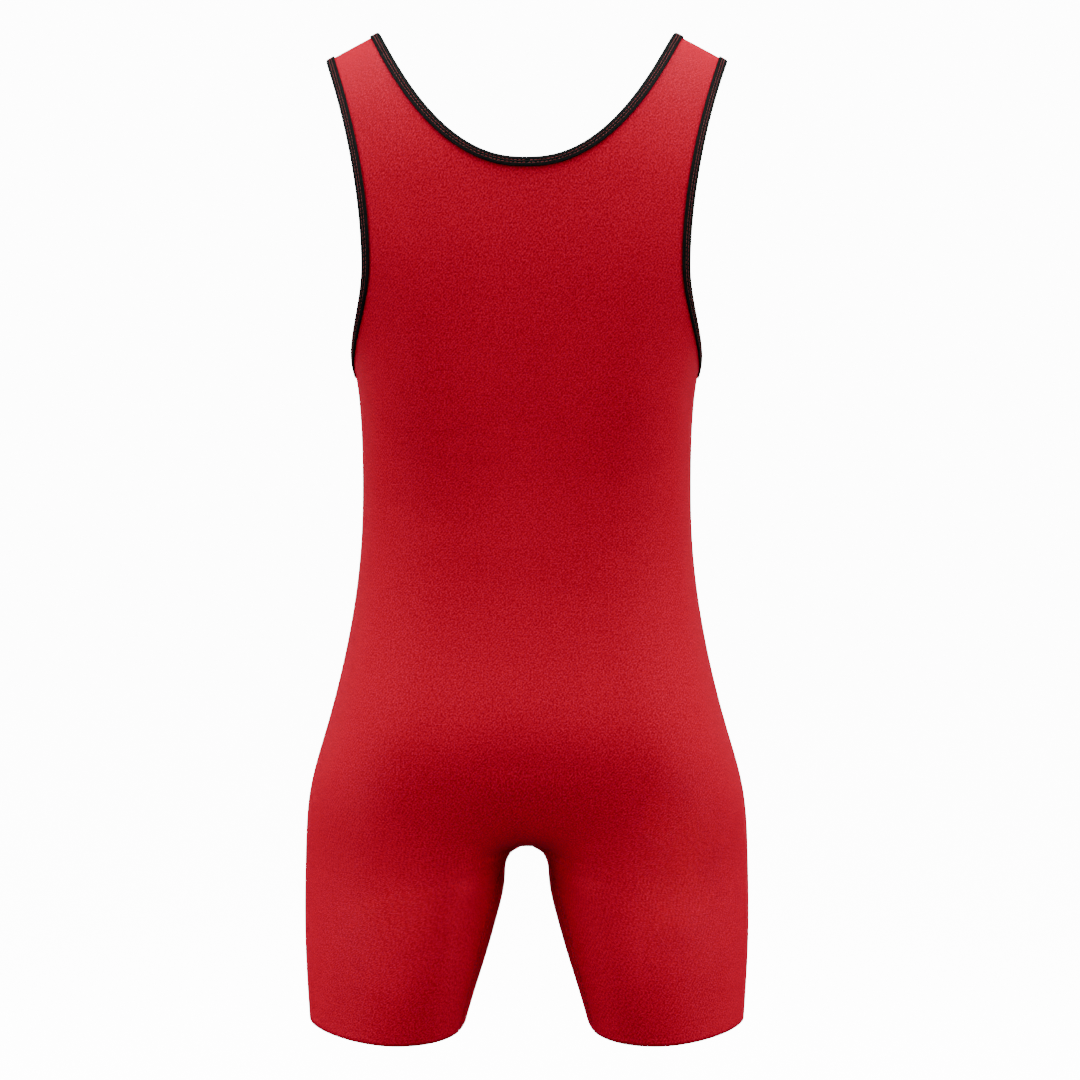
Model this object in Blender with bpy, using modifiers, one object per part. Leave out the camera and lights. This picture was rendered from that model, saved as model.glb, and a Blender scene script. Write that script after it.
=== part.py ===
"""A wrestling singlet, filled out as if worn, with nobody in it.

The front and the back are each one piece of knit, joined at the shoulders, down the sides and along one inseam over
the crotch. A folded strip binds the neck opening and each armhole. Lengths are in metres, +Z is up, the back of the
garment faces +Y, and the origin is midway between the shoulder straps, on the underside of their ridge.
"""

import math

import bmesh
import bpy
import numpy as np

# Cloth and seams
WALL = 0.0012
SEAM_GAP = 0.0004
BINDING_WALL = 0.001
BINDING_REACH = 0.0054

# The garment's heights, below the shoulder ridge
HEM = -0.7835
CROTCH_SIDE = -0.652
SEAT = -0.572
ARMPIT = -0.2674

# Shoulders: the ridge falls outwards, and the surface rounds over it
SHOULDER_SLOPE = math.tan(math.radians(27))
DOME_DROP = 0.140
DOME_LENGTH = 0.188
SLOPE_FADES = 0.30

# Neckline and armholes, at the cut edge of the panels. From its narrowest point down, the armhole sets off sideways
# at once by its sweep, and otherwise bends round ever faster towards the side seam.
NECK_HALF = 0.1194
NECK_DROP = {"back": 0.1212, "front": 0.186}
NECK_POWER = {"back": 2.4, "front": 2.6}
ARM_TOP = 0.1586
ARM_POWER = 1.8
ARM_NARROW_X = {"back": 0.1204, "front": 0.106}
ARM_NARROW_Z = {"back": -0.196, "front": -0.180}
ARM_SWEEP = {"back": 0.3, "front": 0.14}

# Sections of the figure that fills the garment. In each half, the section runs from the middle over its fullest point
# to the side seam. The hollow is how far the middle of the back lies in from the fullest point.
SECTION_COLUMNS = ("height", "side_x", "back_x", "back_y", "hollow", "front_x", "front_y", "round")
SECTIONS = (
    (0.0000, 0.1900, 0.060, 0.094, 0.003, 0.055, 0.086, 0.56),
    (-0.1000, 0.1880, 0.064, 0.099, 0.004, 0.058, 0.098, 0.56),
    (-0.1900, 0.1700, 0.066, 0.108, 0.006, 0.058, 0.110, 0.56),
    (-0.2500, 0.1412, 0.064, 0.106, 0.007, 0.056, 0.110, 0.56),
    (-0.3000, 0.1316, 0.058, 0.100, 0.007, 0.052, 0.105, 0.56),
    (-0.3500, 0.1298, 0.052, 0.091, 0.006, 0.048, 0.100, 0.56),
    (-0.4000, 0.1307, 0.052, 0.088, 0.004, 0.048, 0.098, 0.56),
    (-0.4500, 0.1357, 0.060, 0.092, 0.003, 0.050, 0.098, 0.56),
    (-0.5000, 0.1448, 0.070, 0.104, 0.004, 0.056, 0.097, 0.56),
    (-0.5500, 0.1575, 0.078, 0.118, 0.006, 0.064, 0.094, 0.55),
    (-0.6000, 0.1710, 0.086, 0.114, 0.009, 0.078, 0.091, 0.53),
    (-0.6500, 0.1752, 0.094, 0.096, 0.010, 0.092, 0.091, 0.50),
    (-0.7200, 0.1758, 0.099, 0.088, 0.010, 0.104, 0.089, 0.46),
    (-0.7835, 0.1724, 0.098, 0.083, 0.010, 0.112, 0.084, 0.42),
)
SIDE_SEAM_Y = 0.008
FRONT_HOLLOW = 0.002

# The inseam, from the crotch to the hem: the height of the side seam on the same row, the place of the seam, how far
# the row leans down along the seam, and the way the surface leaves the seam, from straight sideways to straight back.
INSEAM_COLUMNS = ("side_height", "x", "y", "z", "lean", "turn")
INSEAM = (
    (-0.6520, 0.0000, 0.022, -0.6455, 45, 90),
    (-0.6640, 0.0128, 0.024, -0.6480, 38, 82),
    (-0.6760, 0.0212, 0.031, -0.6570, 24, 74),
    (-0.6920, 0.0264, 0.040, -0.6750, 10, 68),
    (-0.7150, 0.0325, 0.047, -0.7020, 0, 67),
    (-0.7400, 0.0400, 0.048, -0.7320, 0, 70),
    (-0.7640, 0.0475, 0.047, -0.7610, 0, 74),
    (-0.7835, 0.0530, 0.046, -0.7835, 0, 77),
)

# Curve handles: the share of the inner stretch of a section that its handles reach
INNER_REACH = 0.40
FULL_REACH = 0.38

# The share of a leg's section at its fullest point, and the heights over which the legs take it on
LEG_SPLIT = {"back": 0.45, "front": 0.60}
SPLIT_FROM = -0.52
SPLIT_OVER = 0.20

# The lowest height that the neckline and the armholes are looked for at, and how finely
LOOK_DOWN_TO = -0.5
HALVINGS = 40
TINY_STEP = 1e-4

# Mesh: columns from the middle to the side, rows from the shoulder to the hem
COLUMNS = 11
EDGE_STRIP = 0.0085
ARM_ROWS = 24
NECK_ROWS = {"back": 14, "front": 17}
SEAT_ROW = 40
CROTCH_ROW = 46
LAST_ROW = 56
EDGE_SAMPLES = 121
RELAX_TIMES = 400
BINDING_ARC = 3

RED = (0.42, 0.010, 0.020, 1.0)
BLACK = (0.010, 0.009, 0.010, 1.0)
SIDES = {"back": 1.0, "front": -1.0}

section = dict(zip(SECTION_COLUMNS, np.array(SECTIONS).T))
inseam = dict(zip(INSEAM_COLUMNS, np.array(INSEAM).T))


def spline(knots, values, at):
    """The natural cubic curve through values at rising knots, read at any places."""
    gaps = np.diff(knots)
    slopes = np.diff(values) / gaps
    bends = np.zeros(len(knots))
    system = np.diag(2 * (gaps[:-1] + gaps[1:])) + np.diag(gaps[1:-1], 1) + np.diag(gaps[1:-1], -1)
    bends[1:-1] = np.linalg.solve(system, 6 * np.diff(slopes))
    k = np.clip(np.searchsorted(knots, at) - 1, 0, len(gaps) - 1)
    u = (at - knots[k]) / gaps[k]
    v = 1 - u
    sag = gaps[k] ** 2 / 6 * ((v**3 - v) * bends[k] + (u**3 - u) * bends[k + 1])
    return v * values[k] + u * values[k + 1] + sag


def unit(vectors):
    return vectors / np.linalg.norm(vectors, axis=-1, keepdims=True)


def smooth_step(at):
    at = np.clip(at, 0, 1)
    return at * at * (3 - 2 * at)


def at_height(name, height):
    return spline(-section["height"], section[name], -height)


def on_inseam(name, side_height):
    return spline(-inseam["side_height"], inseam[name], -side_height)


def dome_angle(down):
    return np.minimum(down / DOME_LENGTH, 1) * math.pi / 2


def level(down):
    """Height of the side seam, at a length down from the ridge along the surface."""
    beyond = np.maximum(down - DOME_LENGTH, 0)
    return -DOME_DROP * (1 - np.cos(dome_angle(down))) - beyond


def length_down(height):
    """The length down from the ridge to a height below the dome."""
    return DOME_LENGTH - DOME_DROP - height


def slope_offset(down, x):
    """How far the falling shoulder line lifts or lowers a point: all of it at the ridge, none at the waist."""
    fade = 1 - smooth_step(down / SLOPE_FADES)
    return -SHOULDER_SLOPE * (x - NECK_HALF) * fade


def centre_line(side, down):
    """The middle of the front or back, which rounds under from the seat to the crotch."""
    height = level(down)
    hollow = at_height("hollow", height) if side > 0 else FRONT_HOLLOW
    name = "back_y" if side > 0 else "front_y"
    y = side * (at_height(name, height) - hollow)
    seat_hollow = at_height("hollow", SEAT) if side > 0 else FRONT_HOLLOW
    seat_y = side * (at_height(name, SEAT) - seat_hollow)
    angle = np.clip((SEAT - height) / (SEAT - CROTCH_SIDE), 0, 1) * math.pi / 2
    crotch_y, crotch_z = inseam["y"][0], inseam["z"][0]
    under = height < SEAT
    y = np.where(under, crotch_y + (seat_y - crotch_y) * np.cos(angle), y)
    z = np.where(under, SEAT + (crotch_z - SEAT) * np.sin(angle), height)
    return np.stack([np.zeros_like(y), y, z], -1)


def inseam_line(down):
    height = level(down)
    return np.stack([on_inseam(name, height) for name in "xyz"], -1)


def inner_edge(side, down):
    """Where each section starts, and the direction in which it sets off."""
    crotch = length_down(CROTCH_SIDE)
    above = np.minimum(down, crotch)
    below = np.maximum(down, crotch)
    centre = centre_line(side, above)
    seam = inseam_line(below)
    down_centre = unit(centre - centre_line(side, above - TINY_STEP))
    down_seam = unit(inseam_line(below + TINY_STEP) - seam)
    drop = (SEAT - level(above)) / (SEAT - CROTCH_SIDE)
    tilt = np.radians(inseam["lean"][0]) * smooth_step(drop)[..., None]
    off_centre = np.cos(tilt) * np.array([1.0, 0, 0]) - np.sin(tilt) * down_centre
    height = level(below)
    turn = np.radians(on_inseam("turn", height))
    lean = np.radians(on_inseam("lean", height))[..., None]
    across = side * np.stack([np.cos(turn), np.sin(turn), np.zeros_like(turn)], -1)
    off_seam = np.cos(lean) * across + np.sin(lean) * down_seam
    on_leg = (down > crotch)[..., None]
    return np.where(on_leg, seam, centre), np.where(on_leg, off_seam, off_centre)


def bezier(a, b, c, d, u):
    v = 1 - u
    return v**3 * a + 3 * v * v * u * b + 3 * v * u * u * c + u**3 * d


def figure(side, down, share):
    """Points on the figure. down is the length from the ridge, and share runs from the middle to the side seam.

    Each section is two cubic curves that meet at its fullest point, where both run straight sideways.
    """
    down, share = np.broadcast_arrays(np.asarray(down, float), np.asarray(share, float))
    height = level(down)
    face = "back" if side > 0 else "front"
    start, heading = inner_edge(side, down)
    full = np.stack([at_height(face + "_x", height), side * at_height(face + "_y", height), height], -1)
    end = np.stack([at_height("side_x", height), np.full_like(height, SIDE_SEAM_Y), height], -1)
    sideways = np.array([1.0, 0, 0])
    outwards = np.array([0, side, 0])
    reach = np.linalg.norm(full - start, axis=-1, keepdims=True)
    width = (end - full)[..., :1]
    depth = side * (full - end)[..., 1:2]
    fullness = at_height("round", height)[..., None]
    even = FULL_REACH * full[..., :1] / (FULL_REACH * full[..., :1] + fullness * width)
    on_leg = smooth_step((SPLIT_FROM - height) / SPLIT_OVER)
    split = even[..., 0] + (LEG_SPLIT[face] - even[..., 0]) * on_leg
    u = np.clip(share / split, 0, 1)[..., None]
    inner = bezier(start, start + heading * INNER_REACH * reach, full - sideways * FULL_REACH * reach, full, u)
    u = np.clip((share - split) / (1 - split), 0, 1)[..., None]
    outer = bezier(full, full + sideways * fullness * width, end + outwards * fullness * depth, end, u)
    points = np.where((share < split)[..., None], inner, outer)
    points[..., 1] *= np.sin(dome_angle(down))
    points[..., 2] += slope_offset(down, points[..., 0])
    return points


def rising_root(function, low, high, shape):
    """Where a rising function passes zero, found for all elements by halving."""
    low, high = np.full(shape, low), np.full(shape, high)
    for _ in range(HALVINGS):
        middle = (low + high) / 2
        past = function(middle) > 0
        low, high = np.where(past, low, middle), np.where(past, middle, high)
    return middle


def seen_at(side, x, z):
    """(down, share) of the points of the upper body that seen from straight behind lie at x and z."""
    lowest = length_down(LOOK_DOWN_TO)
    down = rising_root(lambda d: z - level(d) - slope_offset(d, x), 0.0, lowest, x.shape)
    share = rising_root(lambda s: figure(side, down, s)[..., 0] - x, 0.0, 1.0, x.shape)
    return down, share


def neckline(face):
    """The neckline from the ridge to the middle, a parabola behind and a deeper scoop in front."""
    x = NECK_HALF * np.cos(np.linspace(0, math.pi / 2, EDGE_SAMPLES))
    z = -NECK_DROP[face] * (1 - (x / NECK_HALF) ** NECK_POWER[face])
    down, share = seen_at(SIDES[face], x, z)
    share[-1] = 0
    return down, share


def armhole(face):
    """The armhole from the ridge to the side seam: it narrows, then rounds out under the arm."""
    part = np.linspace(0, 1, EDGE_SAMPLES)
    top_z = slope_offset(0.0, ARM_TOP)
    x = ARM_NARROW_X[face] + (ARM_TOP - ARM_NARROW_X[face]) * (1 - part) ** ARM_POWER
    z = top_z + (ARM_NARROW_Z[face] - top_z) * part
    down, share = seen_at(SIDES[face], x, z)
    angle = part[1:] * math.pi / 2
    sunk = np.sin(angle)
    sweep = ARM_SWEEP[face]
    gone_round = sweep * (sunk + 1 - np.cos(angle)) + (1 - 2 * sweep) * sunk**2
    low_down = down[-1] + (length_down(ARMPIT) - down[-1]) * sunk
    low_share = share[-1] + (1 - share[-1]) * gone_round
    return np.append(down, low_down), np.append(share, low_share)


def evenly(side, edge, count):
    """The edge's (down, share) at count + 1 places, equally far apart along it."""
    points = figure(side, *edge)
    steps = np.linalg.norm(np.diff(points, axis=0), axis=1)
    length = np.append(0, np.cumsum(steps))
    at = np.linspace(0, length[-1], count + 1)
    return [np.interp(at, length, values) for values in edge]


def panel_edges(face):
    """(down, share) of the inner and the outer end of every row."""
    side = SIDES[face]
    neck_rows = NECK_ROWS[face]
    seat, crotch, hem = (length_down(height) for height in (SEAT, CROTCH_SIDE, HEM))
    neck = evenly(side, neckline(face), neck_rows)
    arm = evenly(side, armhole(face), ARM_ROWS)
    to_crotch = np.linspace(seat, crotch, CROTCH_ROW - SEAT_ROW + 1)[1:]
    to_hem = np.linspace(crotch, hem, LAST_ROW - CROTCH_ROW + 1)[1:]
    centre = np.linspace(neck[0][-1], seat, SEAT_ROW - neck_rows + 1)[1:]
    flank = np.linspace(arm[0][-1], seat, SEAT_ROW - ARM_ROWS + 1)[1:]
    inner_down = np.concatenate([neck[0], centre, to_crotch, to_hem])
    outer_down = np.concatenate([arm[0], flank, to_crotch, to_hem])
    inner_share = np.append(neck[1], np.zeros(LAST_ROW - neck_rows))
    outer_share = np.append(arm[1], np.ones(LAST_ROW - ARM_ROWS))
    return inner_down, inner_share, outer_down, outer_share


def strip_inside(side, down, share, way):
    """(down, share) a strip's width inside a panel's edge, squarely to it, or along the row at the panel's ends."""
    edge = figure(side, down, share)
    by_down = (figure(side, down + TINY_STEP, share) - figure(side, down - TINY_STEP, share)) / (2 * TINY_STEP)
    by_share = (figure(side, down, share + way * TINY_STEP) - edge) / (way * TINY_STEP)
    along_row = unit(by_share) * way
    inwards = unit(np.cross(np.cross(by_down, by_share), np.gradient(edge, axis=0)))
    inwards *= np.sign((inwards * along_row).sum(axis=-1, keepdims=True))
    inwards[[0, -1]] = along_row[[0, -1]]
    rates = np.stack([by_down, by_share], axis=-1)
    flipped = rates.swapaxes(1, 2)
    moves = np.linalg.solve(flipped @ rates, flipped @ inwards[..., None])[..., 0] * EDGE_STRIP
    return down + moves[:, 0], share + moves[:, 1]


def relaxed(values):
    """Rows and columns evened out by repeated averaging of neighbours, with the outline kept."""
    for _ in range(RELAX_TIMES):
        around = values[:-2, 1:-1] + values[2:, 1:-1] + values[1:-1, :-2] + values[1:-1, 2:]
        values[1:-1, 1:-1] = around / 4
    return values


def panel_grid(face):
    """Half a panel as rows of points, with a strip of even width along its inner and its outer edge."""
    side = SIDES[face]
    inner_down, inner_share, outer_down, outer_share = panel_edges(face)
    part = np.linspace(0, 1, COLUMNS - 2)
    inner = strip_inside(side, inner_down, inner_share, 1)
    outer = strip_inside(side, outer_down, outer_share, -1)
    down, share = (relaxed(a[:, None] + np.outer(b - a, part)) for a, b in zip(inner, outer))
    down = np.column_stack([inner_down, down, outer_down])
    share = np.column_stack([inner_share, share, outer_share])
    return figure(side, down, share)


def drawn_back(points, towards):
    """Edge points moved half a seam gap towards their neighbours."""
    way = towards - points
    return points + way * (SEAM_GAP / 2 / np.linalg.norm(way, axis=-1, keepdims=True))


def trimmed(grid):
    """The grid with its sewn edges drawn back from the seam lines."""
    cut = grid.copy()
    cut[:, -1][ARM_ROWS:] = drawn_back(grid[:, -1], grid[:, -2])[ARM_ROWS:]
    cut[:, 0][CROTCH_ROW + 1 :] = drawn_back(grid[:, 0], grid[:, 1])[CROTCH_ROW + 1 :]
    cut[CROTCH_ROW, 0] = drawn_back(grid[CROTCH_ROW, 0], grid[CROTCH_ROW - 1, 0])
    cut[0] = drawn_back(grid[0], grid[1])
    return cut


def material(name, colour, roughness):
    made = bpy.data.materials.new(name)
    made.use_nodes = True
    shader = made.node_tree.nodes["Principled BSDF"]
    shader.inputs["Base Color"].default_value = colour
    shader.inputs["Roughness"].default_value = roughness
    shader.inputs["Metallic"].default_value = 0.0
    made.diffuse_color = colour
    return made


def grid_object(name, points, finish, collection, closed=False):
    """A plane grid laid onto rows of points, facing the way its columns turn to its rows by the right hand."""
    rows, columns = points.shape[:2]
    grid = bmesh.new()
    bmesh.ops.create_grid(grid, x_segments=columns - 1, y_segments=rows - 1, size=1)
    for vertex, place in zip(grid.verts, points.reshape(-1, 3)):
        vertex.co = place
    if closed:
        bmesh.ops.remove_doubles(grid, verts=grid.verts, dist=1e-6)
    mesh = bpy.data.meshes.new(name)
    grid.to_mesh(mesh)
    grid.free()
    mesh.shade_smooth()
    mesh.materials.append(finish)
    made = bpy.data.objects.new(name, mesh)
    collection.objects.link(made)
    return made


def add_mirror(piece):
    mirror = piece.modifiers.new("other_half", "MIRROR")
    mirror.merge_threshold = 0.00005


def add_wall(piece, thickness, offset):
    wall = piece.modifiers.new("wall", "SOLIDIFY")
    wall.thickness = thickness
    wall.offset = offset
    wall.use_even_offset = True


def make_panel(face, finish, collection):
    """The front or the back: half of it is laid on the figure, mirrored, and given its wall outwards."""
    points = trimmed(panel_grid(face))
    if face == "front":
        points = points[:, ::-1]
    panel = grid_object(face + "_panel", points, finish, collection)
    add_mirror(panel)
    add_wall(panel, WALL, 1.0)


def edge_stations(grid, column, rows):
    """Along a panel's edge: the edge points, and the step from each to the next point of its row."""
    inward = grid[:, 1] if column == 0 else grid[:, -2]
    edge = grid[:, column]
    return edge[:rows], (inward - edge)[:rows]


def joined_stations(column, rows):
    """The stations of the back's edge, up over the ridge and down the front's edge."""
    back_edge, back_into = edge_stations(panel_grid("back"), column, rows["back"] + 1)
    front_edge, front_into = edge_stations(panel_grid("front"), column, rows["front"] + 1)
    edge = np.concatenate([back_edge[::-1], front_edge[1:]])
    into = unit(np.concatenate([back_into[::-1], front_into[1:]]))
    if column:
        into[[0, -1]] = into[1] + into[-2]
    return edge, into


def binding_points(edge, into, along):
    """The folded strip's middle surface: a leg outside the panel, a round fold past its edge, and a leg inside."""
    along = unit(along)
    into = unit(into - along * (into * along).sum(axis=-1, keepdims=True))
    out = np.cross(along, into)
    radius = WALL / 2 + SEAM_GAP + BINDING_WALL / 2
    turns = np.radians(np.linspace(90, -90, BINDING_ARC + 1))
    past = np.concatenate([[-BINDING_REACH], radius * np.cos(turns), [-BINDING_REACH]])
    height = WALL / 2 + np.concatenate([[radius], radius * np.sin(turns), [-radius]])
    return edge[:, None] - past[:, None] * into[:, None] + height[:, None] * out[:, None]


def run_along(edge, ring):
    """The direction of the edge at each station: round a ring, or straight across the mirror plane at both ends."""
    if ring:
        before, after = np.roll(edge[:-1], 1, axis=0), np.roll(edge[:-1], -1, axis=0)
        along = after - before
        return np.vstack([along, along[:1]])
    flip = np.array([-1.0, 1.0, 1.0])
    before = np.vstack([edge[1] * flip, edge[:-1]])
    after = np.vstack([edge[1:], edge[-2] * flip])
    return after - before


def make_neck_binding(finish, collection):
    edge, into = joined_stations(0, NECK_ROWS)
    points = binding_points(edge, into, run_along(edge, ring=False))
    points[[0, -1], :, 0] = 0
    binding = grid_object("neck_binding", points, finish, collection)
    add_mirror(binding)
    add_wall(binding, BINDING_WALL, 0.0)


def make_armhole_binding(name, mirrored, finish, collection):
    edge, into = joined_stations(-1, {"back": ARM_ROWS, "front": ARM_ROWS})
    points = binding_points(edge, into, -run_along(edge, ring=True))
    if mirrored:
        points = points[:, ::-1] * np.array([-1.0, 1.0, 1.0])
    binding = grid_object(name, points, finish, collection, closed=True)
    add_wall(binding, BINDING_WALL, 0.0)


def clear_scene():
    for thing in list(bpy.data.objects):
        bpy.data.objects.remove(thing, do_unlink=True)


def main():
    clear_scene()
    collection = bpy.data.collections.new("wrestling_singlet")
    bpy.context.scene.collection.children.link(collection)
    knit = material("red_knit", RED, 0.75)
    strip = material("black_binding", BLACK, 0.7)
    for face in SIDES:
        make_panel(face, knit, collection)
    make_neck_binding(strip, collection)
    make_armhole_binding("armhole_binding_left", False, strip, collection)
    make_armhole_binding("armhole_binding_right", True, strip, collection)


main()
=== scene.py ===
"""The wrestling singlet dressed for its picture: red knit, black bindings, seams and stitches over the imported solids.

Lengths are in metres, +Z is up, the back of the garment faces +Y, and the origin is midway between the shoulder
straps. The form is the one that the solids have, worked out again here on a finer grid, but for two places: the
fullest line down the back of each thigh lies further in, and the arch of the crotch is a little higher and narrower.
"""

import math

import bpy
import numpy as np
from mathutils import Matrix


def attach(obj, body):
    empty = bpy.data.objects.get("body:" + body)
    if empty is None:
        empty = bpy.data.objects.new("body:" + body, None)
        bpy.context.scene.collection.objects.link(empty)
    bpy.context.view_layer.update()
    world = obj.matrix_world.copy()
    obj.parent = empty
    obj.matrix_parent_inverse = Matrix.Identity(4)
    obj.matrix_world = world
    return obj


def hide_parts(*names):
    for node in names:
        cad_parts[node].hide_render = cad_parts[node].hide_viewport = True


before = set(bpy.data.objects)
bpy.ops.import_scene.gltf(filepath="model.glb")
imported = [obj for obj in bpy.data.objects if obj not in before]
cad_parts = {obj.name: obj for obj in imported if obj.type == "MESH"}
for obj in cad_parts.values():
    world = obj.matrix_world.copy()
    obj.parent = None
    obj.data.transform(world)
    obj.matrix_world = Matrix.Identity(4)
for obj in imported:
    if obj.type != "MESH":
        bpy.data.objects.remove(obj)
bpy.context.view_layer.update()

# Cloth and seams
WALL = 0.0012
SEAM_GAP = 0.0004
BINDING_WALL = 0.001
BINDING_REACH = 0.0054

# The garment's heights, below the shoulder ridge
HEM = -0.7835
CROTCH_SIDE = -0.652
SEAT = -0.572
ARMPIT = -0.2674

# Shoulders: the ridge falls outwards, and the surface rounds over it
SHOULDER_SLOPE = math.tan(math.radians(27))
DOME_DROP = 0.140
DOME_LENGTH = 0.188
SLOPE_FADES = 0.30

# Neckline and armholes, at the cut edge of the panels
NECK_HALF = 0.1194
NECK_DROP = {"back": 0.1212, "front": 0.186}
NECK_POWER = {"back": 2.4, "front": 2.6}
ARM_TOP = 0.1586
ARM_POWER = 1.8
ARM_NARROW_X = {"back": 0.1204, "front": 0.106}
ARM_NARROW_Z = {"back": -0.196, "front": -0.180}
ARM_SWEEP = {"back": 0.3, "front": 0.14}

# Sections of the figure that fills the garment, from the middle over the fullest point to the side seam
SECTION_COLUMNS = ("height", "side_x", "back_x", "back_y", "hollow", "front_x", "front_y", "round")
SECTIONS = (
    (0.0000, 0.1900, 0.060, 0.094, 0.003, 0.055, 0.086, 0.56),
    (-0.1000, 0.1880, 0.064, 0.099, 0.004, 0.058, 0.098, 0.56),
    (-0.1900, 0.1700, 0.066, 0.108, 0.006, 0.058, 0.110, 0.56),
    (-0.2500, 0.1412, 0.064, 0.106, 0.007, 0.056, 0.110, 0.56),
    (-0.3000, 0.1316, 0.058, 0.100, 0.007, 0.052, 0.105, 0.56),
    (-0.3500, 0.1298, 0.052, 0.091, 0.006, 0.048, 0.100, 0.56),
    (-0.4000, 0.1307, 0.052, 0.088, 0.004, 0.048, 0.098, 0.56),
    (-0.4500, 0.1357, 0.060, 0.092, 0.003, 0.050, 0.098, 0.56),
    (-0.5000, 0.1448, 0.070, 0.104, 0.004, 0.056, 0.097, 0.56),
    (-0.5500, 0.1575, 0.078, 0.118, 0.006, 0.064, 0.094, 0.55),
    (-0.6000, 0.1710, 0.083, 0.114, 0.009, 0.078, 0.091, 0.53),
    (-0.6500, 0.1752, 0.080, 0.096, 0.010, 0.092, 0.091, 0.50),
    (-0.7200, 0.1758, 0.086, 0.088, 0.010, 0.104, 0.089, 0.46),
    (-0.7835, 0.1724, 0.098, 0.083, 0.010, 0.112, 0.084, 0.42),
)
SIDE_SEAM_Y = 0.008
FRONT_HOLLOW = 0.002

# The inseam, from the crotch to the hem: the height of the side seam on the same row, the place of the seam, how far
# the row leans down along it, and the way the surface leaves it, in degrees from straight sideways to straight back
INSEAM_COLUMNS = ("side_height", "x", "y", "z", "lean", "turn")
INSEAM = (
    (-0.6520, 0.0000, 0.022, -0.6423, 45, 90),
    (-0.6640, 0.0116, 0.024, -0.6475, 38, 82),
    (-0.6760, 0.0188, 0.031, -0.6575, 24, 74),
    (-0.6920, 0.0246, 0.040, -0.6745, 10, 68),
    (-0.7150, 0.0325, 0.047, -0.7020, 0, 67),
    (-0.7400, 0.0400, 0.048, -0.7320, 0, 70),
    (-0.7640, 0.0475, 0.047, -0.7610, 0, 74),
    (-0.7835, 0.0530, 0.046, -0.7835, 0, 77),
)

# How far the handles of a section's curves reach, as shares of its inner curve's chord, the share of the way to the
# side seam at which a leg is fullest, and the height below which the body's share turns into it, and over how much
INNER_REACH = 0.40
FULL_REACH = 0.38
LEG_SPLIT = {"back": 0.45, "front": 0.60}
SPLIT_FROM = -0.52
SPLIT_OVER = 0.20

# The lowest height at which an opening's edge is looked for, how often that search halves, and the step of a slope
LOOK_DOWN_TO = -0.5
HALVINGS = 36
TINY_STEP = 1e-4

# Fine grid: rows from the shoulder to the hem, and columns across the middle of each half
ARM_ROWS = 96
NECK_ROWS = {"back": 60, "front": 72}
SEAT_ROW = 170
CROTCH_ROW = 200
LAST_ROW = 244
FIELD_COLUMNS = 34

# The finer strip along each edge: its width, its width at a corner, how fast it widens from there, and its columns
EDGE_STRIP = 0.0085
CORNER_STRIP = 0.0006
CORNER_SPREAD = 0.6
STRIP_STEPS = np.array([0, 0.0005, 0.0011, 0.0020, 0.0035, 0.0058, 0.0085]) / EDGE_STRIP

# How finely an edge and a level arc are sampled, and how often the grid's places are evened out
EDGE_SAMPLES = 301
ARC_SAMPLES = 49
RELAX_TIMES = 3000

SIDES = {"back": 1.0, "front": -1.0}

section = dict(zip(SECTION_COLUMNS, np.array(SECTIONS).T))
inseam = dict(zip(INSEAM_COLUMNS, np.array(INSEAM).T))

# The camera's place, and its lens and sensor in millimetres
CAMERA_PLACE = (-0.0105, 1.21, -0.4031)
LENS = 50
SENSOR_WIDTH = 36


def make_camera():
    """Level with the middle of the garment and straight behind it, looking at its back."""
    view = bpy.data.cameras.new("back_view")
    view.lens = LENS
    view.sensor_width = SENSOR_WIDTH
    camera = bpy.data.objects.new("back_view", view)
    camera.location = CAMERA_PLACE
    camera.rotation_euler = (math.pi / 2, 0, math.pi)
    bpy.context.scene.collection.objects.link(camera)
    bpy.context.scene.camera = camera


make_camera()


# --- The form -------------------------------------------------------------------------------------------------------


def spline(knots, values, at):
    """The natural cubic curve: a straight blend of two neighbouring values, plus each end's bend times a cubic."""
    gaps = np.diff(knots)
    slopes = np.diff(values) / gaps
    bends = np.zeros(len(knots))
    system = np.diag(2 * (gaps[:-1] + gaps[1:])) + np.diag(gaps[1:-1], 1) + np.diag(gaps[1:-1], -1)
    bends[1:-1] = np.linalg.solve(system, 6 * np.diff(slopes))
    k = np.clip(np.searchsorted(knots, at) - 1, 0, len(gaps) - 1)
    u = (at - knots[k]) / gaps[k]
    v = 1 - u
    sag = gaps[k] ** 2 / 6 * ((v**3 - v) * bends[k] + (u**3 - u) * bends[k + 1])
    return v * values[k] + u * values[k + 1] + sag


def unit(vectors):
    """Each vector divided by its length."""
    return vectors / np.linalg.norm(vectors, axis=-1, keepdims=True)


def run_along(points):
    """How far along a line of points each one lies."""
    return np.append(0, np.cumsum(np.linalg.norm(np.diff(points, axis=0), axis=1)))


def smooth_step(at):
    """Three times the square less twice the cube, held at 0 before 0 and at 1 past 1."""
    at = np.clip(at, 0, 1)
    return at * at * (3 - 2 * at)


def at_height(name, height):
    """A column of the sections at a height, on the natural cubic curve."""
    return spline(-section["height"], section[name], -height)


def on_inseam(name, side_height):
    """A column of the inseam at the side seam's height, on the natural cubic curve."""
    return spline(-inseam["side_height"], inseam[name], -side_height)


def dome_angle(down):
    """A quarter turn, run through evenly over the length of the dome."""
    return np.minimum(down / DOME_LENGTH, 1) * math.pi / 2


def level(down):
    """Height at the side seam: the dome's drop times one less the cosine of its angle, then straight down."""
    beyond = np.maximum(down - DOME_LENGTH, 0)
    return -DOME_DROP * (1 - np.cos(dome_angle(down))) - beyond


def length_down(height):
    """Below the dome, how far down from the ridge a height lies: the dome's length and the drop past its foot."""
    return DOME_LENGTH - DOME_DROP - height


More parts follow.
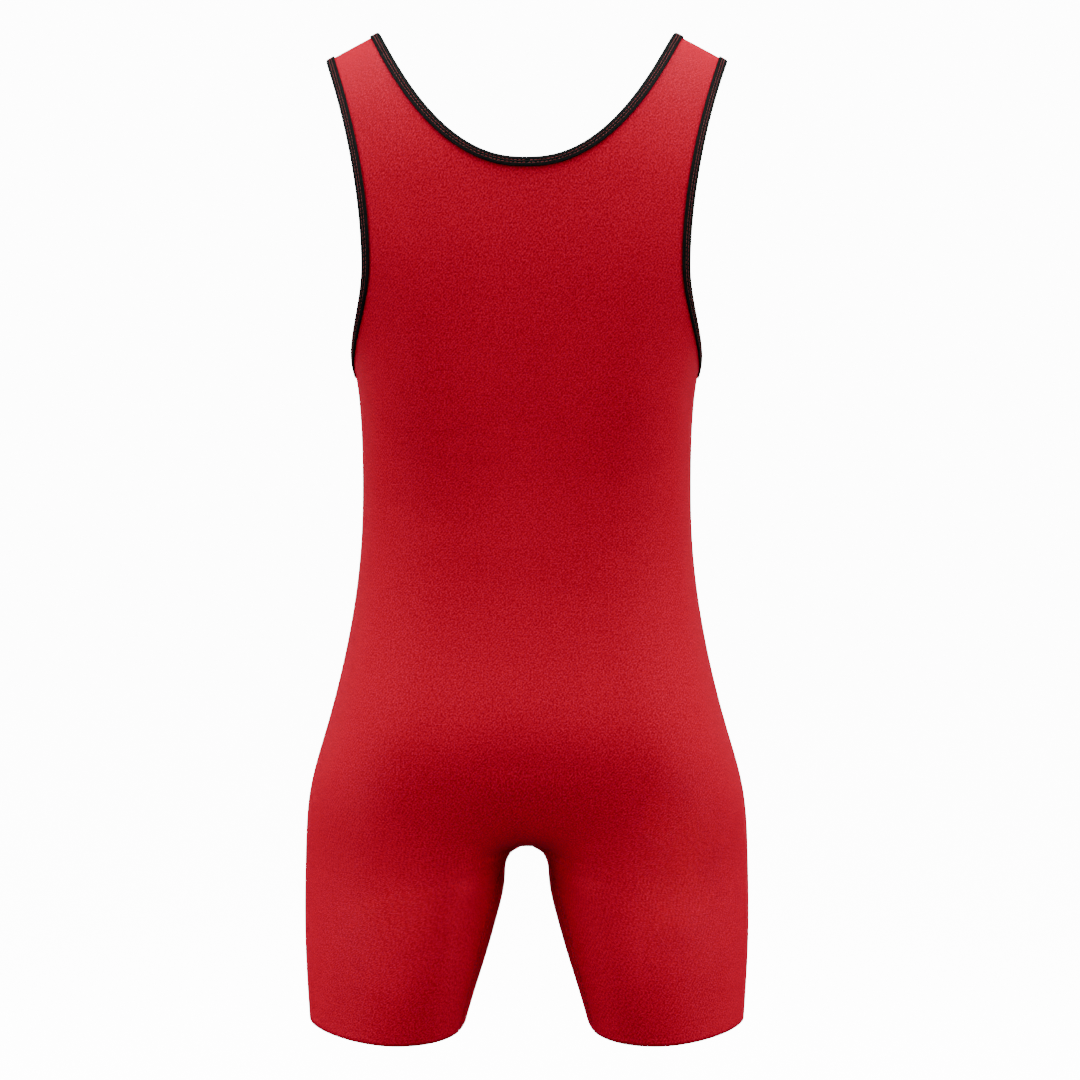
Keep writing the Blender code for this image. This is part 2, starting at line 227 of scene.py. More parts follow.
def slope_offset(down, x):
    """The shoulder's fall, its slope times the distance out from the neck, faded out with a smooth step."""
    fade = 1 - smooth_step(down / SLOPE_FADES)
    return -SHOULDER_SLOPE * (x - NECK_HALF) * fade


def centre_line(side, down):
    """The middle of a face: the fullest depth less the hollow, then a quarter ellipse from the seat to the crotch."""
    height = level(down)
    hollow = at_height("hollow", height) if side > 0 else FRONT_HOLLOW
    name = "back_y" if side > 0 else "front_y"
    y = side * (at_height(name, height) - hollow)
    seat_hollow = at_height("hollow", SEAT) if side > 0 else FRONT_HOLLOW
    seat_y = side * (at_height(name, SEAT) - seat_hollow)
    angle = np.clip((SEAT - height) / (SEAT - CROTCH_SIDE), 0, 1) * math.pi / 2
    crotch_y, crotch_z = inseam["y"][0], inseam["z"][0]
    under = height < SEAT
    y = np.where(under, crotch_y + (seat_y - crotch_y) * np.cos(angle), y)
    z = np.where(under, SEAT + (crotch_z - SEAT) * np.sin(angle), height)
    return np.stack([np.zeros_like(y), y, z], -1)


def inseam_line(down):
    """Points of the inseam, each coordinate on its own natural cubic curve."""
    height = level(down)
    return np.stack([on_inseam(name, height) for name in "xyz"], -1)


def inner_edge(side, down):
    """Where each section starts, the middle or the inseam, and the direction in which it sets off."""
    crotch = length_down(CROTCH_SIDE)
    above = np.minimum(down, crotch)
    below = np.maximum(down, crotch)
    centre = centre_line(side, above)
    seam = inseam_line(below)
    down_centre = unit(centre - centre_line(side, above - TINY_STEP))
    down_seam = unit(inseam_line(below + TINY_STEP) - seam)
    drop = (SEAT - level(above)) / (SEAT - CROTCH_SIDE)
    tilt = np.radians(inseam["lean"][0]) * smooth_step(drop)[..., None]
    off_centre = np.cos(tilt) * np.array([1.0, 0, 0]) - np.sin(tilt) * down_centre
    height = level(below)
    turn = np.radians(on_inseam("turn", height))
    lean = np.radians(on_inseam("lean", height))[..., None]
    across = side * np.stack([np.cos(turn), np.sin(turn), np.zeros_like(turn)], -1)
    off_seam = np.cos(lean) * across + np.sin(lean) * down_seam
    on_leg = (down > crotch)[..., None]
    return np.where(on_leg, seam, centre), np.where(on_leg, off_seam, off_centre)


def bezier(a, b, c, d, u):
    """The cubic curve from a to d with its handles at b and c."""
    v = 1 - u
    return v**3 * a + 3 * v * v * u * b + 3 * v * u * u * c + u**3 * d


def figure(side, down, share):
    """Points on the figure, a function of the length down from the ridge and the share of the way to the side seam.

    Each section is two cubic curves that meet at its fullest point, where both run straight sideways. Its depth is
    scaled by the sine of the dome's angle, and the shoulder's fall is added to its height.
    """
    down, share = np.broadcast_arrays(np.asarray(down, float), np.asarray(share, float))
    height = level(down)
    face = "back" if side > 0 else "front"
    start, heading = inner_edge(side, down)
    full = np.stack([at_height(face + "_x", height), side * at_height(face + "_y", height), height], -1)
    end = np.stack([at_height("side_x", height), np.full_like(height, SIDE_SEAM_Y), height], -1)
    sideways = np.array([1.0, 0, 0])
    outwards = np.array([0, side, 0])
    reach = np.linalg.norm(full - start, axis=-1, keepdims=True)
    width = (end - full)[..., :1]
    depth = side * (full - end)[..., 1:2]
    fullness = at_height("round", height)[..., None]
    even = FULL_REACH * full[..., :1] / (FULL_REACH * full[..., :1] + fullness * width)
    on_leg = smooth_step((SPLIT_FROM - height) / SPLIT_OVER)
    split = even[..., 0] + (LEG_SPLIT[face] - even[..., 0]) * on_leg
    u = np.clip(share / split, 0, 1)[..., None]
    inner = bezier(start, start + heading * INNER_REACH * reach, full - sideways * FULL_REACH * reach, full, u)
    u = np.clip((share - split) / (1 - split), 0, 1)[..., None]
    outer = bezier(full, full + sideways * fullness * width, end + outwards * fullness * depth, end, u)
    points = np.where((share < split)[..., None], inner, outer)
    points[..., 1] *= np.sin(dome_angle(down))
    points[..., 2] += slope_offset(down, points[..., 0])
    return points


def rising_root(function, low, high, shape):
    """Where a rising function passes zero, found for all elements by halving the stretch that holds it."""
    low, high = np.full(shape, low), np.full(shape, high)
    for _ in range(HALVINGS):
        middle = (low + high) / 2
        past = function(middle) > 0
        low, high = np.where(past, low, middle), np.where(past, middle, high)
    return middle


def seen_at(side, x, z):
    """(down, share) of the points of the upper body that seen from straight behind lie at x and z."""
    lowest = length_down(LOOK_DOWN_TO)
    down = rising_root(lambda d: z - level(d) - slope_offset(d, x), 0.0, lowest, x.shape)
    share = rising_root(lambda s: figure(side, down, s)[..., 0] - x, 0.0, 1.0, x.shape)
    return down, share


def neckline(face):
    """Neckline from the ridge to the middle: its drop times one less a power of the distance out from the middle."""
    x = NECK_HALF * np.cos(np.linspace(0, math.pi / 2, EDGE_SAMPLES))
    z = -NECK_DROP[face] * (1 - (x / NECK_HALF) ** NECK_POWER[face])
    down, share = seen_at(SIDES[face], x, z)
    share[-1] = 0
    return down, share


def armhole(face):
    """Armhole from the ridge to the side seam.

    It narrows by a power of the height left. Below that, it drops with the sine of an angle and goes round with a
    blend of that sine, one less the cosine, and the sine squared.
    """
    part = np.linspace(0, 1, EDGE_SAMPLES)
    top_z = slope_offset(0.0, ARM_TOP)
    x = ARM_NARROW_X[face] + (ARM_TOP - ARM_NARROW_X[face]) * (1 - part) ** ARM_POWER
    z = top_z + (ARM_NARROW_Z[face] - top_z) * part
    down, share = seen_at(SIDES[face], x, z)
    angle = part[1:] * math.pi / 2
    sunk = np.sin(angle)
    sweep = ARM_SWEEP[face]
    gone_round = sweep * (sunk + 1 - np.cos(angle)) + (1 - 2 * sweep) * sunk**2
    low_down = down[-1] + (length_down(ARMPIT) - down[-1]) * sunk
    low_share = share[-1] + (1 - share[-1]) * gone_round
    return np.append(down, low_down), np.append(share, low_share)


def evenly(side, edge, count):
    """The edge's (down, share) at count + 1 places, equally far apart along it."""
    length = run_along(figure(side, *edge))
    at = np.linspace(0, length[-1], count + 1)
    return [np.interp(at, length, values) for values in edge]


def panel_edges(face):
    """(down, share) of the inner and the outer end of every row."""
    side = SIDES[face]
    neck_rows = NECK_ROWS[face]
    seat, crotch, hem = (length_down(height) for height in (SEAT, CROTCH_SIDE, HEM))
    neck = evenly(side, neckline(face), neck_rows)
    arm = evenly(side, armhole(face), ARM_ROWS)
    to_crotch = np.linspace(seat, crotch, CROTCH_ROW - SEAT_ROW + 1)[1:]
    to_hem = np.linspace(crotch, hem, LAST_ROW - CROTCH_ROW + 1)[1:]
    centre = np.linspace(neck[0][-1], seat, SEAT_ROW - neck_rows + 1)[1:]
    flank = np.linspace(arm[0][-1], seat, SEAT_ROW - ARM_ROWS + 1)[1:]
    inner_down = np.concatenate([neck[0], centre, to_crotch, to_hem])
    outer_down = np.concatenate([arm[0], flank, to_crotch, to_hem])
    inner_share = np.append(neck[1], np.zeros(LAST_ROW - neck_rows))
    outer_share = np.append(arm[1], np.ones(LAST_ROW - ARM_ROWS))
    return inner_down, inner_share, outer_down, outer_share


def strip_width(side, down, share, corners):
    """A strip's width at each row: it grows with the distance along the edge from the nearest corner row."""
    length = run_along(figure(side, down, share))
    from_corner = np.abs(length[:, None] - length[corners]).min(axis=1)
    return np.minimum(CORNER_STRIP + CORNER_SPREAD * from_corner, EDGE_STRIP)[:, None]


def strip_inside(side, down, share, way, width=EDGE_STRIP):
    """(down, share) a strip's width inside a panel's edge: the edge moved squarely inwards, by least squares."""
    edge = figure(side, down, share)
    by_down = (figure(side, down + TINY_STEP, share) - figure(side, down - TINY_STEP, share)) / (2 * TINY_STEP)
    by_share = (figure(side, down, share + way * TINY_STEP) - edge) / (way * TINY_STEP)
    along_row = unit(by_share) * way
    inwards = unit(np.cross(np.cross(by_down, by_share), np.gradient(edge, axis=0)))
    inwards *= np.sign((inwards * along_row).sum(axis=-1, keepdims=True))
    inwards[[0, -1]] = along_row[[0, -1]]
    rates = np.stack([by_down, by_share], axis=-1)
    flipped = rates.swapaxes(1, 2)
    moves = np.linalg.solve(flipped @ rates, flipped @ inwards[..., None])[..., 0] * width
    return down + moves[:, 0], share + moves[:, 1]


def relaxed(values):
    """Each inner value becomes the average of its four neighbours, over and over, with the outline kept."""
    for _ in range(RELAX_TIMES):
        around = values[:-2, 1:-1] + values[2:, 1:-1] + values[1:-1, :-2] + values[1:-1, 2:]
        values[1:-1, 1:-1] = around / 4
    return values


def panel_places(face):
    """(down, share) over half a panel: fine strips along both edges, and an evened-out field between them."""
    side = SIDES[face]
    edges = panel_edges(face)
    inner, outer = edges[:2], edges[2:]
    near_inner = strip_inside(side, *inner, 1, strip_width(side, *inner, [NECK_ROWS[face], CROTCH_ROW]))
    near_outer = strip_inside(side, *outer, -1, strip_width(side, *outer, [ARM_ROWS]))
    part = np.linspace(0, 1, FIELD_COLUMNS)
    places = []
    for edge_a, strip_a, strip_b, edge_b in zip(inner, near_inner, near_outer, outer):
        field = relaxed(strip_a[:, None] + np.outer(strip_b - strip_a, part))
        left = edge_a[:, None] + np.outer(strip_a - edge_a, STRIP_STEPS[:-1])
        right = strip_b[:, None] + np.outer(edge_b - strip_b, 1 - STRIP_STEPS[-2::-1])
        places.append(np.column_stack([left, field, right]))
    return places


def cloth_map(side, down, share):
    """Each point's place in the cloth: the length of its level arc out from the middle, and its length down."""
    shares = np.linspace(0, 1, ARC_SAMPLES)
    arcs = figure(side, down[..., None], share[..., None] * shares)
    across = np.linalg.norm(np.diff(arcs, axis=-2), axis=-1).sum(-1)
    return np.stack([across, down], -1)


# Soft unevenness of the worn cloth. Each one is a long low swelling (+) or hollow (-): where it lies in the cloth,
# across from the middle and down from the ridge, its slant in degrees, how long and wide its bell is, and its height
CREASE_COLUMNS = ("across", "down", "slant", "long", "wide", "height")
BACK_CREASES = (
    (-0.105, 0.090, 80, 0.045, 0.008, 0.00045),
    (0.122, 0.100, 98, 0.050, 0.009, 0.00040),
    (-0.085, 0.190, 62, 0.060, 0.012, -0.00050),
    (0.092, 0.205, 118, 0.055, 0.011, -0.00045),
    (-0.110, 0.335, 35, 0.050, 0.010, 0.00040),
    (0.118, 0.350, 148, 0.045, 0.009, 0.00045),
    (-0.095, 0.400, 20, 0.055, 0.008, -0.00040),
    (0.100, 0.425, 162, 0.060, 0.009, -0.00035),
    (0.015, 0.455, 3, 0.070, 0.010, 0.00030),
    (-0.020, 0.490, 175, 0.065, 0.009, -0.00030),
    (0.000, 0.610, 90, 0.075, 0.010, -0.00060),
    (-0.060, 0.672, 24, 0.060, 0.010, -0.00060),
    (0.064, 0.676, 154, 0.055, 0.010, -0.00060),
    (-0.120, 0.735, 96, 0.050, 0.012, 0.00040),
    (0.128, 0.745, 84, 0.045, 0.012, 0.00035),
    (-0.085, 0.780, 12, 0.060, 0.007, 0.00030),
    (0.090, 0.790, 170, 0.055, 0.007, 0.00030),
)
FRONT_CREASES = (
    (-0.090, 0.150, 76, 0.050, 0.010, 0.00045),
    (0.086, 0.140, 102, 0.050, 0.010, 0.00045),
    (-0.060, 0.300, 15, 0.060, 0.010, -0.00035),
    (0.070, 0.315, 166, 0.060, 0.010, -0.00035),
    (-0.090, 0.440, 155, 0.055, 0.009, 0.00045),
    (0.095, 0.455, 25, 0.050, 0.009, 0.00045),
    (-0.030, 0.520, 170, 0.060, 0.009, -0.00035),
    (0.040, 0.535, 10, 0.055, 0.008, 0.00030),
    (-0.060, 0.660, 150, 0.055, 0.008, -0.00055),
    (0.062, 0.664, 30, 0.055, 0.008, -0.00055),
    (-0.110, 0.760, 8, 0.060, 0.008, 0.00030),
    (0.105, 0.770, 172, 0.060, 0.008, 0.00030),
)


def unevenness(creases, across, down):
    """The sum of the creases, each its height times a bell curve along it times a bell curve across it."""
    table = dict(zip(CREASE_COLUMNS, np.array(creases).T))
    right, below = across[..., None] - table["across"], down[..., None] - table["down"]
    slant = np.radians(table["slant"])
    along = right * np.cos(slant) + below * np.sin(slant)
    aside = below * np.cos(slant) - right * np.sin(slant)
    bells = np.exp(-((along / table["long"]) ** 2) - (aside / table["wide"]) ** 2)
    return (table["height"] * bells).sum(-1)


def grid_normals(points):
    """The unit cross product of the run across the columns and the run down the rows."""
    return unit(np.cross(np.gradient(points, axis=1), np.gradient(points, axis=0)))


# How deep the cloth dips at a seam and at the shoulder, how far in from it, and over how many columns or rows the
# creases die out
SEAM_DIP = 0.00055
SHOULDER_DIP = 0.0003
DIP_WIDTH = 0.0010
CALM_COLUMNS = 14
CALM_ROWS = 10


def drawn_back(points, towards):
    """Edge points moved half a seam gap towards their neighbours."""
    way = towards - points
    return points + way * (SEAM_GAP / 2 / np.linalg.norm(way, axis=-1, keepdims=True))


def half_cloth(face, creases, mirror):
    """Half a panel's points and its cloth map, mirrored where mirror is -1.

    The points are the figure's, moved along their normals by the creases, which die out towards the edges, and
    down into each seam by the dip's depth times a bell curve of the distance from it. The two panels meet along the
    ridge, in the shoulder seam, a little lower than the cloth on both sides.
    """
    side = SIDES[face]
    down, share = panel_places(face)
    points = figure(side, down, share)
    places = cloth_map(side, down, share)
    normals = grid_normals(points) * side
    rows, columns = np.indices(down.shape)
    calm = smooth_step((columns.max() - columns) / CALM_COLUMNS) * smooth_step(rows / CALM_ROWS)
    beside_opening = (rows <= NECK_ROWS[face]) | (rows >= CROTCH_ROW)
    near_neck_end = smooth_step((rows - NECK_ROWS[face]) / CALM_ROWS)
    near_crotch = smooth_step((CROTCH_ROW - rows) / CALM_ROWS)
    inner_calm = smooth_step(columns / CALM_COLUMNS)
    middle_calm = inner_calm + (1 - inner_calm) * near_neck_end * near_crotch
    calm *= np.where(beside_opening, inner_calm, middle_calm)
    moves = unevenness(creases, mirror * places[..., 0], places[..., 1]) * calm
    to_side = np.linalg.norm(points - points[:, -1:], axis=-1)
    to_inner = np.linalg.norm(points - points[:, :1], axis=-1)
    dip = SEAM_DIP * np.exp(-((to_side / DIP_WIDTH) ** 2)) * (rows > ARM_ROWS)
    dip += SEAM_DIP * np.exp(-((to_inner / DIP_WIDTH) ** 2)) * (rows > CROTCH_ROW)
    dip += SHOULDER_DIP * (rows == 0)
    points = points + normals * (moves - dip)[..., None]
    cut = points.copy()
    cut[:, -1][ARM_ROWS:] = drawn_back(points[:, -1], points[:, -2])[ARM_ROWS:]
    cut[:, 0][CROTCH_ROW + 1 :] = drawn_back(points[:, 0], points[:, 1])[CROTCH_ROW + 1 :]
    cut[CROTCH_ROW, 0] = drawn_back(points[CROTCH_ROW, 0], points[CROTCH_ROW - 1, 0])
    return cut * [mirror, 1, 1], places * [mirror, 1]


def link(made):
    """Put an object into the scene."""
    bpy.context.scene.collection.objects.link(made)
    return made


def make_mesh(name, points, faces, finish, places=None):
    """A smooth mesh from arrays, with its cloth map, in metres, as the UV map."""
    mesh = bpy.data.meshes.new(name)
    mesh.from_pydata(points, [], faces)
    mesh.polygons.foreach_set("use_smooth", np.ones(len(mesh.polygons), bool))
    if places is not None:
        layer = mesh.uv_layers.new(name="cloth_map")
        corners = np.empty(len(mesh.loops), int)
        mesh.loops.foreach_get("vertex_index", corners)
        layer.data.foreach_set("uv", places[corners].astype(np.float32).ravel())
    mesh.materials.append(finish)
    mesh.update()
    return link(bpy.data.objects.new(name, mesh))


def grid_faces(index):
    """Four-cornered faces over a grid of point numbers, turned from the columns to the rows by the right hand."""
    return np.stack([index[:-1, :-1], index[:-1, 1:], index[1:, 1:], index[1:, :-1]], -1).reshape(-1, 4)


def make_cloth(name, face, creases, finish):
    """A whole panel: the right half, and the left one joined to it down the middle between neck and crotch."""
    right, right_map = half_cloth(face, creases, 1.0)
    left, left_map = half_cloth(face, creases, -1.0)
    rows, columns = right.shape[:2]
    index = np.arange(rows * columns).reshape(rows, columns)
    other = index + rows * columns
    joined = slice(NECK_ROWS[face], CROTCH_ROW + 1)
    other[joined, 0] = index[joined, 0]
    faces = np.concatenate([grid_faces(index), grid_faces(other)[:, ::-1]])
    if face == "front":
        faces = faces[:, ::-1]
    used, faces = np.unique(faces, return_inverse=True)
    points = np.concatenate([right.reshape(-1, 3), left.reshape(-1, 3)])[used]
    places = np.concatenate([right_map.reshape(-1, 2), left_map.reshape(-1, 2)])[used]
    cloth = make_mesh(name, points, faces.reshape(-1, 4), finish, places)
    wall = cloth.modifiers.new("cloth_wall", "SOLIDIFY")
    wall.thickness = WALL
    wall.offset = 1.0
    wall.use_even_offset = False
    return cloth


# --- Bindings -------------------------------------------------------------------------------------------------------

# The folded strip's section: points along each leg and round the fold, outside and inside, and round a leg's end
LEG_POINTS = 26
FOLD_POINTS = 11
INNER_POINTS = 7
INNER_FOLD_EVERY = 3
END_POINTS = 5

# Its two stitch rows, how deep and wide each pinches it, how high it swells, and how far from the fold in full
STITCH_ROWS = (-0.0012, -0.0031)
PINCH = 0.00026
PINCH_WIDTH = 0.0004
PUFF = 0.00012
PUFF_STARTS = 0.0012


def edge_and_inside(face, outer_edge):
    """The (down, share) of a panel's edge, and those a strip's width inside it."""
    edges = panel_edges(face)
    edge = edges[2:] if outer_edge else edges[:2]
    return edge, strip_inside(SIDES[face], *edge, -1 if outer_edge else 1)


def edge_stations(face, outer_edge, rows):
    """Along a panel's edge: the edge points, and the step from each to the strip's width inside it."""
    edge, inside = (figure(SIDES[face], *line) for line in edge_and_inside(face, outer_edge))
    return edge[:rows], (inside - edge)[:rows]


def opening_frame(outer_edge, rows):
    """Round a whole opening: the edge points, the way into the cloth, and the way out of its surface.

    The back's edge runs up over the ridge and down the front's. The neck's is then mirrored to close its ring. The
    way out is the cross product of the run along the edge and the way in.
    """
    back_edge, back_into = edge_stations("back", outer_edge, rows["back"] + 1)
    front_edge, front_into = edge_stations("front", outer_edge, rows["front"] + 1)
    edge = np.concatenate([back_edge[::-1], front_edge[1:]])
    into = unit(np.concatenate([back_into[::-1], front_into[1:]]))
    if outer_edge:
        into[0] = into[1] + into[-2]
        edge, into = edge[:-1], into[:-1]
    else:
        flip = np.array([-1.0, 1.0, 1.0])
        edge = np.concatenate([edge, edge[-2:0:-1] * flip])
        into = np.concatenate([into, into[-2:0:-1] * flip])
    along = unit(np.roll(edge, -1, axis=0) - np.roll(edge, 1, axis=0))
    into = unit(into - along * (into * along).sum(-1, keepdims=True))
    out = np.cross(along, into) * (-1 if outer_edge else 1)
    return edge, into, out


def binding_section():
    """The strip's section as (past the edge, height over the wall's middle), once round.

    The outside is two straight legs and half a circle, swelled by a sine between the stitch rows, which dies out at
    the fold, and pinched by a bell curve at each row. The inside is the same with a smaller circle, and half circles
    round off the legs' ends.
    """
    middle = WALL / 2 + SEAM_GAP + BINDING_WALL / 2
    thick = BINDING_WALL / 2
    leg = np.linspace(-BINDING_REACH, 0, LEG_POINTS)
    waves = np.abs(np.sin((leg - STITCH_ROWS[0]) / (STITCH_ROWS[1] - STITCH_ROWS[0]) * math.pi))
    high = middle + thick + PUFF * waves * np.minimum(-leg / PUFF_STARTS, 1)
    for row in STITCH_ROWS:
        high -= PINCH * np.exp(-(((leg - row) / PINCH_WIDTH) ** 2))
    turn = np.radians(np.linspace(90, -90, FOLD_POINTS + 2)[1:-1])
    fold = (middle + thick) * np.stack([np.cos(turn), np.sin(turn)], -1)
    inner_leg = np.linspace(-BINDING_REACH, 0, INNER_POINTS)
    inner_turn = turn[::INNER_FOLD_EVERY]
    low = middle - thick
    inner_fold = low * np.stack([np.cos(inner_turn), np.sin(inner_turn)], -1)
    round_end = np.radians(np.linspace(90, -90, END_POINTS + 2)[1:-1])
    end = np.stack([-BINDING_REACH - thick * np.cos(round_end), thick * np.sin(round_end)], -1)
    down_flip = np.array([1.0, -1.0])
    return np.concatenate([
        np.stack([leg, high], -1),
        fold,
        np.stack([leg, high], -1)[::-1] * down_flip,
        end[::-1] * down_flip * [1, -1] + [0, -middle],
        np.stack([inner_leg, np.full(INNER_POINTS, -low)], -1),
        inner_fold[::-1],
        np.stack([inner_leg, np.full(INNER_POINTS, low)], -1)[::-1],
        end[::-1] + [0, middle],
    ])


def make_binding(name, frame_lines, mirror, finish):
    """The strip's section carried along the opening's edge, closed both ways.

    The sum of each face's cross product times its place is a multiple of the volume, and its sign tells whether the
    faces point outwards.
    """
    edge, into, out = frame_lines
    profile = binding_section()
    past, height = profile[:, 0], WALL / 2 + profile[:, 1]
    points = edge[:, None] - past[:, None] * into[:, None] + height[:, None] * out[:, None]
    points = points * [mirror, 1, 1]
    stations, around = points.shape[:2]
    index = np.arange(stations * around).reshape(stations, around)
    index = np.concatenate([index, index[:1]])
    index = np.concatenate([index, index[:, :1]], axis=1)
    faces = grid_faces(index)
    a, b, c, d = (points.reshape(-1, 3)[faces[:, k]] for k in range(4))
    if np.einsum("ij,ij->", np.cross(b - a, c - a) + np.cross(c - a, d - a), a) < 0:
        faces = faces[:, ::-1]
    girth, run = run_along(profile), run_along(edge)
    places = np.stack(np.broadcast_arrays(girth[None], run[:, None]), -1).reshape(-1, 2)
    return make_mesh(name, points.reshape(-1, 3), faces, finish, places)


# --- Stitches -------------------------------------------------------------------------------------------------------

# A stitch: its length and spacing, its thread's radius, how blunt its ends are, how high its middle lies and how far
# its ends dive, in radii, and how far it sinks into a binding's pinch
STITCH = 0.0029
STITCH_SPACING = 0.0031
THREAD = 0.0002
STITCH_RINGS = 5
STITCH_SIDES = 6
STITCH_BLUNT = 0.02
STITCH_LIES = 0.9
STITCH_DIVES = 1.7
STITCH_SINKS = 0.6

# The stitches beside a seam: how far from it, and how many rows below its upper end they start. The step in share
# from which the cloth's way out is worked out there
SIDE_INSET = 0.0022
SIDE_STARTS = 3
INSEAM_INSET = 0.0028
INSEAM_STARTS = 2
SHARE_STEP = 1e-3


def along_line(points, normals):
    """Places equally far apart along a line, with its normal and its direction there."""
    length = run_along(points)
    at = (np.arange(int(length[-1] / STITCH_SPACING)) + 0.5) * STITCH_SPACING
    both = np.concatenate([points, normals, np.gradient(points, length, axis=0)], axis=1)
    read = np.stack([np.interp(at, length, values) for values in both.T], -1)
    return read[:, :3], unit(read[:, 3:6]), unit(read[:, 6:])


def stitch_points(points, normals):
    """One small stitch at each place: a blunt spindle, the thread's radius times the root of one less a fourth power.

    It lies on the cloth along its middle and dives into it at both ends, by the same power of the distance.
    """
    place, normal, along = along_line(points, normals)
    aside = np.cross(normal, along)
    part = np.linspace(-1, 1, STITCH_RINGS)
    radius = THREAD * np.sqrt(np.maximum(1 + STITCH_BLUNT - part**4, STITCH_BLUNT))
    rise = THREAD * (STITCH_LIES - STITCH_DIVES * part**4)
    turn = np.linspace(0, 2 * math.pi, STITCH_SIDES, endpoint=False)
    ring_up = radius[:, None] * np.sin(turn) + rise[:, None]
    ring_aside = radius[:, None] * np.cos(turn)
    ring_along = np.repeat(part[:, None] * STITCH / 2, STITCH_SIDES, axis=1)
    grid = (
        place[:, None, None]
        + along[:, None, None] * ring_along[..., None]
        + aside[:, None, None] * ring_aside[..., None]
        + normal[:, None, None] * ring_up[..., None]
    )
    return grid.reshape(-1, STITCH_RINGS * STITCH_SIDES, 3)


def make_stitching(name, rows, finish):
    """All the stitches of several rows, joined into one piece. Each is a closed spindle of rings."""
    stitches = np.concatenate(rows)
    ring = np.arange(STITCH_RINGS * STITCH_SIDES).reshape(STITCH_RINGS, STITCH_SIDES)
    wrapped = np.concatenate([ring, ring[:, :1]], axis=1)
    sides = grid_faces(wrapped)
    caps = [ring[0][::-1], ring[-1]]
    a, b, c = (stitches[0][sides[:, k]] for k in range(3))
    if (np.cross(b - a, c - a) * (a - stitches[0].mean(axis=0))).sum() < 0:
        sides = sides[:, ::-1]
        caps = [cap[::-1] for cap in caps]
    starts = np.arange(len(stitches))[:, None] * STITCH_RINGS * STITCH_SIDES
    faces = (starts[..., None] + sides[None]).reshape(-1, 4).tolist()
    for cap in caps:
        faces += (starts + cap[None]).tolist()
    return make_mesh(name, stitches.reshape(-1, 3), faces, finish)


def binding_stitches(frame_lines, mirror):
    """Two rows on the outside of a binding and two on its inside, lying in its pinches."""
    edge, into, out = (np.concatenate([values, values[:1]]) for values in frame_lines)
    top = WALL / 2 + SEAM_GAP + BINDING_WALL
    flip = np.array([mirror, 1, 1])
    rows = []
    for row in STITCH_ROWS:
        for way in (1, -1):
            height = WALL / 2 + way * (top - PINCH * STITCH_SINKS)
            line = edge - row * into + height * out
            rows.append(stitch_points(line * flip, way * out * flip))
    return rows


def seam_stitches(face, outer_edge, first, inset):
    """A row of stitches on the cloth beside a seam, from a row down to the hem, on both sides of the garment."""
    side = SIDES[face]
    part = inset / EDGE_STRIP
    at_down, at_share = (edge + (inside - edge) * part for edge, inside in zip(*edge_and_inside(face, outer_edge)))
    line = figure(side, at_down, at_share)
    by_down = figure(side, at_down + TINY_STEP, at_share) - line
    by_share = figure(side, at_down, at_share - SHARE_STEP) - line
    normal = unit(np.cross(by_down, by_share)) * side
    line, normal = (line + normal * WALL)[first:LAST_ROW], normal[first:LAST_ROW]
    return [stitch_points(line * flip, normal * flip) for flip in np.array([[1.0, 1, 1], [-1.0, 1, 1]])]


# --- Materials ------------------------------------------------------------------------------------------------------

# The red knit: its columns, rows and slanted lines in metres, how far a loop bends away from its rib's middle, how
# round a rib is, and how far the slanted lines waver
WALE = 0.0013
COURSE = 0.0010
TWILL = 0.0027
LOOP_BEND = 1.3
RIB_ROUND = 1.2
WAVER = 3.0

# The noise of its patterns, in waves per metre, and the share of each pattern in its tone
GRAIN_FINE = 720.0
SPECK_FINE = 950.0
WAVER_FINE = 300.0
STREAK_FINE = (60.0, 60.0, 700.0)
PATCH_FINE = 14.0
TONE_SHARES = {"knit": 0.10, "grain": 0.80, "twills": 0.12, "streaks": 0.08, "patches": 0.08}
TONE_RANGE = (0.26, 0.89)
SPECK_RANGE = (0.56, 0.74)
SPECK_SHARE = 0.30

# Painted shade along the hem, where the cloth would fold under: how far above the edge it darkens, and how far it does
HEM_SHADE_LINE = (0.0018, 0.0006)
HEM_SHADE_SHARE = 0.55

# The tape's ribs and lines in metres, and its grain
TAPE_RIB = 0.0010
TAPE_LINE = 0.0006
TAPE_GRAIN = 800.0
TAPE_SHARES = {"ribs": 0.25, "lines": 0.15}

# The thread's twist, in radians, and its bands per metre
TWIST = (0.6, 0.5, 0.7)
BANDS = 900.0

# The colours of knit, the painted shade at its hem, tape, threads and floor
DEEP_RED = (0.275, 0.0010, 0.0100, 1)
LIGHT_RED = (0.55, 0.0026, 0.0230, 1)
SPECK_RED = (0.74, 0.018, 0.085, 1)
HEM_SHADE_RED = (0.14, 0.0014, 0.0060, 1)
RED_GLOSS = (1.0, 0.45, 0.90, 1)
RED_SHEEN = (1.0, 0.42, 0.64, 1)
TAPE_BLACK = (0.0008, 0.0016, 0.0015, 1)
TAPE_GREY = (0.0048, 0.0072, 0.0068, 1)
TAPE_SHEEN = (0.75, 0.85, 0.85, 1)
DARK_RED_THREAD = ((0.16, 0.018, 0.022, 1), (0.34, 0.046, 0.052, 1))
RED_THREAD = ((0.16, 0.001, 0.003, 1), (0.30, 0.006, 0.012, 1))
FLOOR_TONES = ((0.90, 0.90, 0.90, 1), (0.93, 0.93, 0.93, 1))


